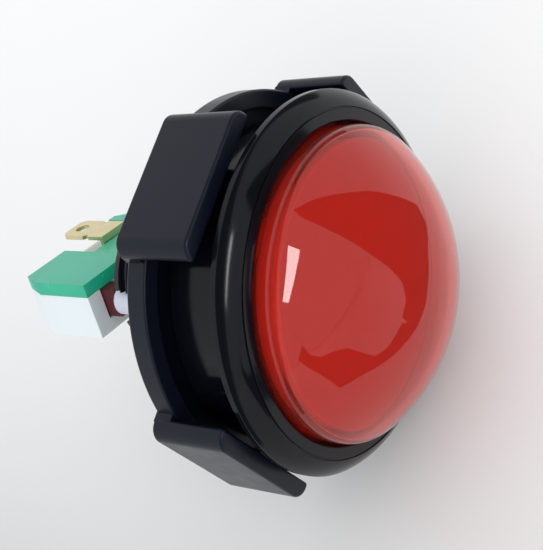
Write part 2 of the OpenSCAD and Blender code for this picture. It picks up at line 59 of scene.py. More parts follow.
def bake(obj):
    # turns the modifiers' result into the object's own plain mesh
    bpy.context.view_layer.update()
    graph = bpy.context.evaluated_depsgraph_get()
    mesh = bpy.data.meshes.new_from_object(obj.evaluated_get(graph))
    obj.modifiers.clear()
    obj.data = mesh
    return obj


def shade(obj, degrees=32):
    if "custom_normal" in obj.data.attributes:
        obj.data.attributes.remove(obj.data.attributes["custom_normal"])
    obj.data.polygons.foreach_set("use_smooth", [True] * len(obj.data.polygons))
    obj.data.set_sharp_from_angle(angle=math.radians(degrees))
    return obj


def flatten(obj, degrees):
    # keeps flat faces flat where soft edges meet them
    shade(obj, degrees)
    weighted = obj.modifiers.new("flatNormals", "WEIGHTED_NORMAL")
    weighted.keep_sharp = True
    return bake(obj)


def bevel(obj, width, segments=3, degrees=32):
    mod = obj.modifiers.new("softEdges", "BEVEL")
    mod.width = width * mm
    mod.segments = segments
    mod.limit_method = "ANGLE"
    mod.angle_limit = math.radians(degrees)
    mod.use_clamp_overlap = True
    bake(obj)
    return flatten(obj, 60)


def paint(obj, material):
    obj.data.materials.clear()
    obj.data.materials.append(material)
    for face in obj.data.polygons:
        face.material_index = 0


def place(obj, body, slot, material, *nodes):
    # gives a finished piece its material, its body and the nodes that it stands for
    paint(obj, material)
    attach(obj, body)
    if nodes:
        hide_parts(*nodes)
    return obj


def roundedProfile(corners, steps=4):
    # corners are (radius, height, fillet) in mm, all round the section
    points = []
    count = len(corners)
    for i, (x, y, fillet) in enumerate(corners):
        p = Vector((x, y))
        a = Vector(corners[i - 1][:2]) - p
        b = Vector(corners[(i + 1) % count][:2]) - p
        if fillet <= 0 or a.length < 1e-6 or b.length < 1e-6:
            points.append(p)
            continue
        lengthA, lengthB = a.length, b.length
        a.normalize()
        b.normalize()
        half = a.angle(b) / 2
        if half > 1.56:
            points.append(p)
            continue
        cut = min(fillet / math.tan(half), 0.42 * lengthA, 0.42 * lengthB)
        r = cut * math.tan(half)
        centre = p + (a + b).normalized() * (r / math.sin(half))
        u = p + a * cut - centre
        v = p + b * cut - centre
        sweep = math.atan2(u.x * v.y - u.y * v.x, u.dot(v))
        pad = min(0.12, 0.1 * lengthA, 0.1 * lengthB)
        points.append(p + a * (cut + pad))
        for k in range(steps + 1):
            t = sweep * k / steps
            points.append(centre + Matrix.Rotation(t, 2) @ u)
        points.append(p + b * (cut + pad))
    return [(max(q.x, 0.0), q.y) for q in points]


def latheMesh(bm, profile, segments):
    # turns a closed section, in mm, about the Z axis
    rings = []
    for x, y in profile:
        if x < 1e-5:
            rings.append([bm.verts.new((0, 0, y * mm))])
        else:
            rings.append([bm.verts.new((x * mm * math.cos(2 * math.pi * k / segments),
                x * mm * math.sin(2 * math.pi * k / segments), y * mm)) for k in range(segments)])
    for a, b in zip(rings, rings[1:] + rings[:1]):
        for k in range(segments):
            j = (k + 1) % segments
            if len(a) > 1 and len(b) > 1:
                bm.faces.new((a[k], a[j], b[j], b[k]))
            elif len(a) > 1:
                bm.faces.new((a[k], a[j], b[0]))
            elif len(b) > 1:
                bm.faces.new((a[0], b[j], b[k]))


def lathe(name, profile, segments=144):
    bm = bmesh.new()
    latheMesh(bm, profile, segments)
    return objectFrom(bm, name)


def arcPoints(centre, radius, start, end, steps):
    return [(centre[0] + radius * math.cos(math.radians(start + (end - start) * k / steps)),
        centre[1] + radius * math.sin(math.radians(start + (end - start) * k / steps))) for k in range(steps + 1)]


def prism(name, outline, low, high):
    # extrudes an outline in X and Y, in mm, from low to high
    bm = bmesh.new()
    bottom = [bm.verts.new((x * mm, y * mm, low * mm)) for x, y in outline]
    top = [bm.verts.new((x * mm, y * mm, high * mm)) for x, y in outline]
    bm.faces.new(bottom[::-1])
    bm.faces.new(top)
    for k in range(len(outline)):
        j = (k + 1) % len(outline)
        bm.faces.new((bottom[k], bottom[j], top[j], top[k]))
    return objectFrom(bm, name)


def brick(name, low, high):
    return prism(name, [(low[0], low[1]), (high[0], low[1]), (high[0], high[1]), (low[0], high[1])], low[2], high[2])


def combine(obj, other, operation):
    mod = obj.modifiers.new("join", "BOOLEAN")
    mod.operation = operation
    mod.solver = "EXACT"
    mod.object = other
    bake(obj)
    bpy.data.objects.remove(other)
    return obj


def softCopy(node, name, width, segments=3):
    # a merged copy of a CAD node with softened edges
    obj = bpy.data.objects.new(name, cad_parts[node].data.copy())
    collection.objects.link(obj)
    bm = bmesh.new()
    bm.from_mesh(obj.data)
    bmesh.ops.remove_doubles(bm, verts=bm.verts, dist=1e-6)
    bmesh.ops.dissolve_limit(bm, angle_limit=math.radians(1.0), verts=bm.verts, edges=bm.edges)
    bm.to_mesh(obj.data)
    bm.free()
    return bevel(obj, width, segments)


# geometry node helpers

def newTree(name, inputs):
    tree = bpy.data.node_groups.new(name, "GeometryNodeTree")
    tree.interface.new_socket(name="Geometry", in_out="INPUT", socket_type="NodeSocketGeometry")
    for label, kind in inputs:
        tree.interface.new_socket(name=label, in_out="INPUT", socket_type=kind)
    tree.interface.new_socket(name="Geometry", in_out="OUTPUT", socket_type="NodeSocketGeometry")
    source = tree.nodes.new("NodeGroupInput")
    target = tree.nodes.new("NodeGroupOutput")
    return tree, source, target


def math1(tree, operation, a, b=None, clamp=False):
    node = tree.nodes.new("ShaderNodeMath")
    node.operation = operation
    node.use_clamp = clamp
    for socket, value in zip(node.inputs, (a, b)):
        if value is None:
            continue
        if isinstance(value, (int, float)):
            socket.default_value = value
        else:
            tree.links.new(value, socket)
    return node.outputs[0]


def roundAbout(tree, thing, count, phase):
    # copies of an object, evenly turned about the Z axis
    line = tree.nodes.new("GeometryNodeMeshLine")
    line.inputs["Offset"].default_value = (0, 0, 0)
    tree.links.new(count, line.inputs["Count"])
    info = tree.nodes.new("GeometryNodeObjectInfo")
    tree.links.new(thing, info.inputs["Object"])
    index = tree.nodes.new("GeometryNodeInputIndex")
    step = math1(tree, "DIVIDE", 2 * math.pi, count)
    rotation = tree.nodes.new("ShaderNodeCombineXYZ")
    tree.links.new(math1(tree, "ADD", math1(tree, "MULTIPLY", index.outputs[0], step), phase), rotation.inputs[2])
    copies = tree.nodes.new("GeometryNodeInstanceOnPoints")
    tree.links.new(line.outputs[0], copies.inputs["Points"])
    tree.links.new(info.outputs["Geometry"], copies.inputs["Instance"])
    tree.links.new(rotation.outputs[0], copies.inputs["Rotation"])
    return copies.outputs[0]


def endTree(tree, geometry, target, material):
    realize = tree.nodes.new("GeometryNodeRealizeInstances")
    setMaterial = tree.nodes.new("GeometryNodeSetMaterial")
    setMaterial.inputs["Material"].default_value = material
    tree.links.new(geometry, realize.inputs[0])
    tree.links.new(realize.outputs[0], setMaterial.inputs[0])
    tree.links.new(setMaterial.outputs[0], target.inputs[0])


def runTree(obj, tree, values):
    mod = obj.modifiers.new(tree.name, "NODES")
    mod.node_group = tree
    for item in tree.interface.items_tree:
        if item.in_out == "INPUT" and item.name in values:
            mod[item.identifier] = values[item.name]
    return bake(obj)


# materials

def surface(name, look):
    material = bpy.data.materials.new(name)
    material.use_nodes = True
    nodes, links = material.node_tree.nodes, material.node_tree.links
    shader = nodes["Principled BSDF"]
    coords = nodes.new("ShaderNodeTexCoord")
    mapping = nodes.new("ShaderNodeMapping")
    mapping.inputs["Scale"].default_value = look.get("stretch", (1000, 1000, 1000))
    links.new(coords.outputs["Object"], mapping.inputs["Vector"])

    def noise(scale, detail=4.0, rough=0.55):
        n = nodes.new("ShaderNodeTexNoise")
        n.inputs["Scale"].default_value = scale
        n.inputs["Detail"].default_value = detail
        n.inputs["Roughness"].default_value = rough
        links.new(mapping.outputs["Vector"], n.inputs["Vector"])
        return n.outputs["Fac"]

    mix = nodes.new("ShaderNodeMix")
    mix.data_type = "RGBA"
    links.new(noise(look.get("patch", 0.12)), mix.inputs[0])
    mix.inputs[6].default_value = (*look["colour"], 1)
    mix.inputs[7].default_value = (*look.get("shade", look["colour"]), 1)
    links.new(mix.outputs[2], shader.inputs["Base Color"])

    low, high = look["rough"]
    spread = nodes.new("ShaderNodeMapRange")
    spread.inputs["From Min"].default_value = 0.3
    spread.inputs["From Max"].default_value = 0.7
    spread.inputs["To Min"].default_value = low
    spread.inputs["To Max"].default_value = high
    links.new(noise(look.get("smear", 0.5), 6.0), spread.inputs["Value"])
    links.new(spread.outputs["Result"], shader.inputs["Roughness"])

    bump = nodes.new("ShaderNodeBump")
    bump.inputs["Distance"].default_value = look.get("bumpHeight", 0.01) * mm
    bump.inputs["Strength"].default_value = look.get("bump", 0.3)
    links.new(noise(look.get("grain", 4.0), 3.0), bump.inputs["Height"])
    links.new(bump.outputs["Normal"], shader.inputs["Normal"])

    for socket, key in (("Metallic", "metallic"), ("Specular IOR Level", "specular"), ("IOR", "ior"),
            ("Transmission Weight", "transmission"), ("Coat Weight", "coat"), ("Coat Roughness", "coatRough"),
            ("Subsurface Weight", "subsurface"), ("Subsurface Scale", "subsurfaceScale")):
        if key in look:
            shader.inputs[socket].default_value = look[key]
    if "subsurfaceRadius" in look:
        shader.inputs["Subsurface Radius"].default_value = look["subsurfaceRadius"]
    if "tint" in look:
        # clear plastic lets lamps through, tinted
        path = nodes.new("ShaderNodeLightPath")
        clear = nodes.new("ShaderNodeBsdfTransparent")
        clear.inputs["Color"].default_value = (*look["tint"], 1)
        blend = nodes.new("ShaderNodeMixShader")
        output = nodes["Material Output"]
        links.new(path.outputs["Is Shadow Ray"], blend.inputs["Fac"])
        links.new(shader.outputs["BSDF"], blend.inputs[1])
        links.new(clear.outputs["BSDF"], blend.inputs[2])
        links.new(blend.outputs["Shader"], output.inputs["Surface"])
    return material


finishes = {
    "bezelBlack": dict(colour=(0.0022, 0.0024, 0.0046), shade=(0.0032, 0.0034, 0.006), rough=(0.1, 0.17),
        patch=0.05, smear=0.12, grain=1.6, bump=0.2, bumpHeight=0.005, specular=0.24, ior=1.5),
    "nutBlack": dict(colour=(0.004, 0.0058, 0.0135), shade=(0.0052, 0.0074, 0.016), rough=(0.28, 0.36),
        patch=0.08, smear=0.3, grain=5.0, bump=0.4, bumpHeight=0.01, specular=0.26),
    "domeRed": dict(colour=(0.8, 0.072, 0.044), shade=(0.82, 0.08, 0.05), rough=(0.012, 0.03),
        patch=0.05, smear=0.2, grain=0.4, bump=0.08, bumpHeight=0.005, transmission=0.88, ior=1.49,
        tint=(0.82, 0.36, 0.33)),
    "diffuserWhite": dict(colour=(0.64, 0.7, 0.7), shade=(0.59, 0.64, 0.64), rough=(0.4, 0.55), grain=6.0,
        patch=0.1, bump=0.2),
    "plungerWhite": dict(colour=(0.62, 0.65, 0.74), shade=(0.55, 0.58, 0.68), rough=(0.32, 0.45), grain=5.0,
        bump=0.25, subsurface=0.15, subsurfaceScale=0.002, subsurfaceRadius=(1.0, 1.0, 1.0)),
    "springSteel": dict(colour=(0.55, 0.56, 0.58), shade=(0.42, 0.43, 0.45), rough=(0.22, 0.38), metallic=1.0,
        patch=1.0, grain=8.0, bump=0.2),
    "holderBlack": dict(colour=(0.012, 0.012, 0.014), shade=(0.017, 0.017, 0.02), rough=(0.38, 0.5), grain=5.0,
        bump=0.4),
    "lampWhite": dict(colour=(0.8, 0.8, 0.82), shade=(0.74, 0.74, 0.77), rough=(0.35, 0.45), grain=5.0, bump=0.2),
    "lampClear": dict(colour=(0.93, 0.94, 0.97), shade=(0.9, 0.91, 0.95), rough=(0.04, 0.09), transmission=1.0,
        ior=1.49, tint=(0.9, 0.9, 0.92), bump=0.1),
    "tinnedBrass": dict(colour=(0.80, 0.71, 0.44), shade=(0.70, 0.60, 0.34), rough=(0.3, 0.46), metallic=1.0,
        patch=0.35, smear=1.2, grain=7.0, bump=0.3, bumpHeight=0.008),
    "caseWhite": dict(colour=(0.79, 0.86, 0.89), shade=(0.75, 0.82, 0.86), rough=(0.38, 0.5), patch=0.15, grain=6.0,
        bump=0.3, bumpHeight=0.01, subsurface=0.2, subsurfaceScale=0.0015, subsurfaceRadius=(1.0, 1.0, 1.0)),
    "coverGreen": dict(colour=(0.035, 0.66, 0.43), shade=(0.025, 0.58, 0.38), rough=(0.16, 0.28), patch=0.15,
        smear=0.4, grain=2.0, bump=0.25, bumpHeight=0.008, transmission=0.4, ior=1.5, tint=(0.3, 0.85, 0.7)),
    "actuatorRed": dict(colour=(0.085, 0.006, 0.01), shade=(0.06, 0.005, 0.008), rough=(0.35, 0.48), grain=6.0,
        bump=0.3),
    "rockerCopper": dict(colour=(0.62, 0.33, 0.16), shade=(0.5, 0.26, 0.13), rough=(0.28, 0.42), metallic=1.0,
        patch=0.5, grain=8.0, bump=0.2),
    "silverContact": dict(colour=(0.72, 0.73, 0.75), shade=(0.6, 0.61, 0.63), rough=(0.22, 0.36), metallic=1.0,
        patch=0.8, grain=9.0, bump=0.2),
}
paints = {name: surface(name, look) for name, look in finishes.items()}
print("materials made:", len(paints))


# bezel, barrel and threaded tube

housing = dict(bezel=30.0, rim=1.4, crease=27.2, creaseHeight=3.8, bow=0.3, groove=0.22, opening=25.2, top=4.0,
    bore=24.85, barrel=25.7, barrelEnd=-10.9, inner=23.6, ledge=-0.2, floor=-8.9, tube=12.0, tubeBore=10.3,
    tubeEnd=-35.0, collar=11.5, collarTop=-5.9, relief=0.9, reliefDepth=0.4, draft=1.0, ribAngle=10.7,
    ribHeight=0.15, ribWidth=0.8, slotHalf=2.8, slotTop=-19.6, pitch=2.0, threadDepth=0.85, threadTop=-12.4,
    crestShare=0.22, flankSteep=1.8, tubeRings=170, segments=192)


def makeHousing(h):
    # section of bezel and cup, bowed band and fine groove included
    band = []
    start, end = Vector((h["bezel"], h["rim"])), Vector((h["crease"], h["creaseHeight"]))
    out = Vector((end.y - start.y, start.x - end.x)).normalized()
    for k in range(1, 12):
        t = k / 12
        p = start.lerp(end, t) + out * h["bow"] * 4 * t * (1 - t)
        band.append((p.x, p.y, 0))
    corners = [(h["tubeBore"], -11.2, 0), (h["tube"] - 0.4, -11.2, 0), (h["tube"] - 0.4, h["barrelEnd"], 0),
        (h["barrel"], h["barrelEnd"], 0.5), (h["barrel"], h["reliefDepth"], 0.1),
        (h["barrel"] + h["relief"], h["reliefDepth"], 0.1), (h["barrel"] + h["relief"], 0, 0.1),
        (h["bezel"] - h["draft"], 0, 0.2), (h["bezel"], 0.4, 0.15), (h["bezel"], h["rim"], 0.35)]
    corners += band
    crease, creaseHeight, low = h["crease"], h["creaseHeight"], h["creaseHeight"] - h["groove"]
    corners += [(crease + 0.05, creaseHeight - 0.02, 0.05), (crease - 0.02, low, 0.03),
        (crease - 0.02 - h["groove"], low, 0.03), (crease - 0.06 - h["groove"], creaseHeight + 0.01, 0.05),
        (h["opening"], h["top"], 0.35), (h["bore"], h["top"] - 0.45, 0.2), (h["bore"], h["ledge"], 0.1),
        (h["inner"], h["ledge"], 0.2), (h["inner"], h["floor"], 0.4), (h["collar"], h["floor"], 0.3),
        (h["collar"], h["collarTop"], 0.25), (h["tubeBore"], h["collarTop"], 0.2)]
    cup = lathe("housing", roundedProfile(corners), h["segments"])
    for turn in (0, 180):
        rib = brick("rib", (h["barrel"] - 1.0, -h["ribWidth"] / 2, h["barrelEnd"] + 0.8),
            (h["barrel"] + h["ribHeight"], h["ribWidth"] / 2, h["reliefDepth"] + 0.1))
        bevel(rib, 0.06, 2)
        rib.data.transform(Matrix.Rotation(math.radians(h["ribAngle"] + turn), 4, "Z"))
        combine(cup, rib, "UNION")

    # tube, many rings long so that the thread has something to follow
    steps = h["tubeRings"]
    climb = (h["barrelEnd"] + 0.3 - h["tubeEnd"]) / steps
    outer = [(h["tube"], h["tubeEnd"] + 0.4 + climb * k) for k in range(steps + 1)]
    outer[-1] = (h["tube"], h["barrelEnd"] + 0.6)
    section = [(h["tubeBore"], h["barrelEnd"] + 0.6), (h["tubeBore"], h["tubeEnd"] + 0.3),
        (h["tubeBore"] + 0.3, h["tubeEnd"]), (h["tube"] - 0.4, h["tubeEnd"])] + outer
    tube = lathe("tube", section, 120)
    tree, source, target = newTree("threadRule", [("Pitch", "NodeSocketFloat"), ("Depth", "NodeSocketFloat"),
        ("Crest", "NodeSocketFloat"), ("Start", "NodeSocketFloat"), ("End", "NodeSocketFloat")])
    position = tree.nodes.new("GeometryNodeInputPosition")
    split = tree.nodes.new("ShaderNodeSeparateXYZ")
    tree.links.new(position.outputs[0], split.inputs[0])
    x, y, z = split.outputs
    radius = math1(tree, "SQRT", math1(tree, "ADD", math1(tree, "MULTIPLY", x, x), math1(tree, "MULTIPLY", y, y)))
    turn = math1(tree, "DIVIDE", math1(tree, "ARCTAN2", y, x), 2 * math.pi)
    phase = math1(tree, "FRACT", math1(tree, "SUBTRACT", math1(tree, "DIVIDE", z, source.outputs["Pitch"]), turn))
    wave = math1(tree, "PINGPONG", math1(tree, "MULTIPLY", phase, 2.0), 1.0)
    flank = math1(tree, "MULTIPLY", math1(tree, "SUBTRACT", wave, h["crestShare"]), h["flankSteep"],
        clamp=True)
    fadeTop = math1(tree, "DIVIDE", math1(tree, "SUBTRACT", source.outputs["Start"], z), 0.0015, clamp=True)
    fadeEnd = math1(tree, "DIVIDE", math1(tree, "SUBTRACT", z, source.outputs["End"]), 0.0008, clamp=True)
    depth = math1(tree, "MULTIPLY", math1(tree, "MULTIPLY", flank, source.outputs["Depth"]),
        math1(tree, "MULTIPLY", fadeTop, fadeEnd))
    onCrest = math1(tree, "GREATER_THAN", radius, math1(tree, "SUBTRACT", source.outputs["Crest"], 0.00005))
    factor = math1(tree, "DIVIDE", math1(tree, "MULTIPLY", depth, -1.0), radius)
    offset = tree.nodes.new("ShaderNodeCombineXYZ")
    tree.links.new(math1(tree, "MULTIPLY", x, factor), offset.inputs[0])
    tree.links.new(math1(tree, "MULTIPLY", y, factor), offset.inputs[1])
    move = tree.nodes.new("GeometryNodeSetPosition")
    tree.links.new(source.outputs["Geometry"], move.inputs["Geometry"])
    tree.links.new(onCrest, move.inputs["Selection"])
    tree.links.new(offset.outputs[0], move.inputs["Offset"])
    endTree(tree, move.outputs[0], target, paints["bezelBlack"])
    runTree(tube, tree, {"Pitch": h["pitch"] * mm, "Depth": h["threadDepth"] * mm, "Crest": h["tube"] * mm,
        "Start": h["threadTop"] * mm, "End": (h["tubeEnd"] + 0.4) * mm})
    combine(tube, brick("slot", (-h["tube"] - 1, -h["slotHalf"], h["tubeEnd"] - 1),
        (-8, h["slotHalf"], h["slotTop"])), "DIFFERENCE")

    bm = bmesh.new()
    bm.from_mesh(cup.data)
    bm.from_mesh(tube.data)
    bm.to_mesh(cup.data)
    bm.free()
    bpy.data.objects.remove(tube)
    flatten(cup, 50)
    return place(cup, "mounting_body", "bezel_black", paints["bezelBlack"], "housing")


makeHousing(housing)
print("housing made")


# clamping nut

nut = dict(ring=30.65, ringTop=-11.1, ringLow=-14.7, wall=3.0, web=-12.9, bore=12.08, hub=15.5, hubLow=-17.7,
    across=64.2, lugWidth=23.8, lugThick=3.0, lugTop=-1.3, lugRound=2.4, phase=34.0, gusset=1.6, segments=144)


def makeNut(n):
    reach = n["ring"] - n["wall"]
    ring = lathe("nut", roundedProfile([(n["bore"], n["hubLow"], 0.3), (n["hub"], n["hubLow"], 0.4),
        (n["hub"], n["ringLow"], 0.3), (n["ring"], n["ringLow"], 0.45), (n["ring"], n["ringTop"], 0.35),
        (reach, n["ringTop"], 0.35), (reach, n["web"], 0.3), (n["bore"], n["web"], 0.3)]), n["segments"])
    outside, inside, halfWidth, r = n["across"] / 2, n["across"] / 2 - n["lugThick"], n["lugWidth"] / 2, n["lugRound"]
    outline = [(inside, -halfWidth)]
    outline += arcPoints((outside - r, -halfWidth + r), r, -90, 0, 8)
    outline += arcPoints((outside - r, halfWidth - r), r, 0, 90, 8)
    outline += [(inside, halfWidth)]
    lug = prism("lug", outline, n["ringLow"], n["lugTop"])
    bevel(lug, 0.5, 4, 40)
    foot = brick("foot", (reach + 0.4, -halfWidth + 0.05, n["ringLow"] + 0.05),
        (inside + 0.6, halfWidth - 0.05, n["ringTop"] - 0.4))
    combine(lug, foot, "UNION")
    rib = prism("rib", [(n["hub"] - 1, -n["gusset"] / 2), (reach, -n["gusset"] / 2),
        (reach, n["gusset"] / 2), (n["hub"] - 1, n["gusset"] / 2)], n["hubLow"] + 0.8, n["ringLow"] + 0.9)
    for v in rib.data.vertices:
        # the gusset falls from the hub to the ring
        if v.co.z < (n["ringLow"] - 1) * mm and v.co.x > n["hub"] * mm:
            v.co.z = (n["ringLow"] + 0.4) * mm
    bevel(rib, 0.2, 2)

    tree, source, target = newTree("aroundHub", [("Lug", "NodeSocketObject"), ("Gusset", "NodeSocketObject"),
        ("Lug Count", "NodeSocketInt"), ("Gusset Count", "NodeSocketInt"), ("Phase", "NodeSocketFloat")])
    parts = [roundAbout(tree, source.outputs["Lug"], source.outputs["Lug Count"], source.outputs["Phase"]),
        roundAbout(tree, source.outputs["Gusset"], source.outputs["Gusset Count"], source.outputs["Phase"])]
    union = tree.nodes.new("GeometryNodeMeshBoolean")
    union.operation = "UNION"
    union.solver = "EXACT"
    tree.links.new(source.outputs["Geometry"], union.inputs["Mesh 2"])
    for part in parts:
        real = tree.nodes.new("GeometryNodeRealizeInstances")
        tree.links.new(part, real.inputs[0])
        tree.links.new(real.outputs[0], union.inputs["Mesh 2"])
    endTree(tree, union.outputs[0], target, paints["nutBlack"])
    runTree(ring, tree, {"Lug": lug, "Gusset": rib, "Lug Count": 4, "Gusset Count": 8,
        "Phase": math.radians(n["phase"])})
    bpy.data.objects.remove(lug)
    bpy.data.objects.remove(rib)
    flatten(ring, 50)
    return place(ring, "clamping_nut", "nut_black", paints["nutBlack"], "nut")


makeNut(nut)
print("nut made")


# dome

dome = dict(radius=24.5, top=18.1, cap=31.7, wall=1.6, shoulder=2.4, skirt=2.2, hooks=4, hookWidth=6.0,
    hookTurn=-45.0, plate=21.9, hookLow=1.35, segments=200)


def makeDome(d):
    centre = d["top"] - d["cap"]
    cx = d["radius"] - d["shoulder"]
    cz = centre + math.sqrt((d["cap"] - d["shoulder"]) ** 2 - cx ** 2)
    turn = math.degrees(math.atan2(cz - centre, cx))
    profile = arcPoints((0, centre), d["cap"], 90, turn, 44)
    profile += arcPoints((cx, cz), d["shoulder"], turn, 0, 10)[1:]
    profile += [(d["radius"], d["skirt"] + 0.5)]
    profile += arcPoints((d["radius"] - 0.25, d["skirt"] + 0.25), 0.25, 0, -90, 3)
    profile += arcPoints((d["radius"] - d["wall"] + 0.25, d["skirt"] + 0.25), 0.25, -90, -180, 3)
    profile += [(d["radius"] - d["wall"], d["skirt"] + 0.5)]
    profile += arcPoints((cx, cz), d["shoulder"] - d["wall"], 0, turn, 8)
    profile += arcPoints((0, centre), d["cap"] - d["wall"], turn, 90, 44)[1:]
    profile[0] = (0, d["top"])
    profile[-1] = (0, d["top"] - d["wall"])
    shell = lathe("dome_lens", profile, d["segments"])
    inner, outer = d["plate"] + 0.15, 23.3
    hook = prism("hook", [(-d["hookWidth"] / 2, inner), (d["hookWidth"] / 2, inner), (d["hookWidth"] / 2, outer - 0.3),
        (-d["hookWidth"] / 2, outer - 0.3)], d["hookLow"], d["skirt"] + 0.9)
    bevel(hook, 0.2, 2)
    toe = brick("toe", (-d["hookWidth"] / 2 + 0.05, d["plate"] - 0.6, d["hookLow"]),
        (d["hookWidth"] / 2 - 0.05, inner + 0.4, d["hookLow"] + 1.05))
    combine(hook, toe, "UNION")
    tree, source, target = newTree("hookRow", [("Hook", "NodeSocketObject"), ("Count", "NodeSocketInt")])
    ring = roundAbout(tree, source.outputs["Hook"], source.outputs["Count"], math.radians(d["hookTurn"]))
    both = tree.nodes.new("GeometryNodeJoinGeometry")
    tree.links.new(source.outputs["Geometry"], both.inputs[0])
    tree.links.new(ring, both.inputs[0])
    endTree(tree, both.outputs[0], target, paints["domeRed"])
    runTree(shell, tree, {"Hook": hook, "Count": d["hooks"]})
    bpy.data.objects.remove(hook)
    shade(shell, 50)
    return place(shell, "button", "dome_red", paints["domeRed"], "dome_lens")


makeDome(dome)
print("dome made")


# diffuser and plunger

plate = dict(radius=21.9, top=6.049, thick=1.2, edge=0.25)


def makeDiffuser(p):
    low = p["top"] - p["thick"]
    disc = lathe("diffuser", roundedProfile([(0, low, 0), (p["radius"], low, p["edge"]),
        (p["radius"], p["top"], p["edge"]), (0, p["top"], 0)]), 160)
    shade(disc, 40)
    return place(disc, "button", "diffuser_white", paints["diffuserWhite"], "diffuser")


makeDiffuser(plate)
place(softCopy("plunger", "plunger", 0.2, 2), "button", "plunger_white", paints["plungerWhite"], "plunger")
print("diffuser and plunger made")


# lamp and microswitch

softPieces = {
    "lamp_holder": dict(body="mounting_body", slot="holder_black", paint="holderBlack", edge=0.2),
    "lamp_base": dict(body="mounting_body", slot="lamp_body", paint="lampWhite", edge=0.2),
    "lamp_lens": dict(body="mounting_body", slot="lamp_lens", paint="lampClear", edge=0.15),
    "lamp_contact_front": dict(body="mounting_body", slot="brass", paint="tinnedBrass", edge=0.08),
    "lamp_contact_back": dict(body="mounting_body", slot="brass", paint="tinnedBrass", edge=0.08),
    "switch_case": dict(body="mounting_body", slot="case_white", paint="caseWhite", edge=0.3),
    "switch_cover": dict(body="mounting_body", slot="cover_green", paint="coverGreen", edge=0.3),
    "switch_actuator": dict(body="actuator", slot="actuator_red", paint="actuatorRed", edge=0.3),
    "rocker": dict(body="rocker_arm", slot="rocker_copper", paint="rockerCopper", edge=0.06),
    "moving_contact": dict(body="rocker_arm", slot="silver", paint="silverContact", edge=0.12),
    "terminal_common": dict(body="mounting_body", slot="brass", paint="tinnedBrass", edge=0.12),
    "terminal_no": dict(body="mounting_body", slot="brass", paint="tinnedBrass", edge=0.1),
    "terminal_nc": dict(body="mounting_body", slot="brass", paint="tinnedBrass", edge=0.1),
    "contact_no": dict(body="mounting_body", slot="silver", paint="silverContact", edge=0.06),
    "contact_nc": dict(body="mounting_body", slot="silver", paint="silverContact", edge=0.08),
}
for node, piece in softPieces.items():
    place(softCopy(node, node, piece["edge"]), piece["body"], piece["slot"], paints[piece["paint"]], node)
for node in ("return_spring", "switch_spring"):
    paint(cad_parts[node], paints["springSteel"])
print("lamp and microswitch made")


# camera, table and lights

camera = dict(position=(-129.649, 77.151, 102.804), focal=1166.6, width=543, height=550,
    right=(0.5460841, -0.2642434, 0.7949639), down=(-0.4807907, -0.8759631, 0.0391019),
    ahead=(0.6860266, -0.4035642, -0.6053953))


def makeCamera(c):
    data = bpy.data.cameras.new("photoCamera")
    data.sensor_fit = "HORIZONTAL"
    data.sensor_width = 36.0
    data.lens = c["focal"] / c["width"] * 36.0
    data.clip_start, data.clip_end = 0.01, 20.0
    cam = bpy.data.objects.new("photoCamera", data)
    collection.objects.link(cam)
    right, down, ahead = Vector(c["right"]), Vector(c["down"]), Vector(c["ahead"])
    turn = Matrix((right, -down, -ahead)).transposed().to_4x4()
    turn.translation = Vector(c["position"]) * mm
    cam.matrix_world = turn
    bpy.context.scene.camera = cam


makeCamera(camera)

# the table's colour carries painted shade: the near, far and step values paint the room's light falloff, darker
# towards the camera, and the sideways values paint lighter and darker shade from side to side
table = dict(angle=124.0, drop=32.16, size=1.2, colour=(0.995, 0.998, 1.0), near=-0.05, far=0.11,
    mottle=0.985, sideways=0.09, paintedSideShade=(-0.09, 0.09),
    steps=((0.0, 0.7), (0.12, 0.79), (0.31, 0.87), (0.5, 0.905), (0.75, 0.925), (1.0, 0.93)))


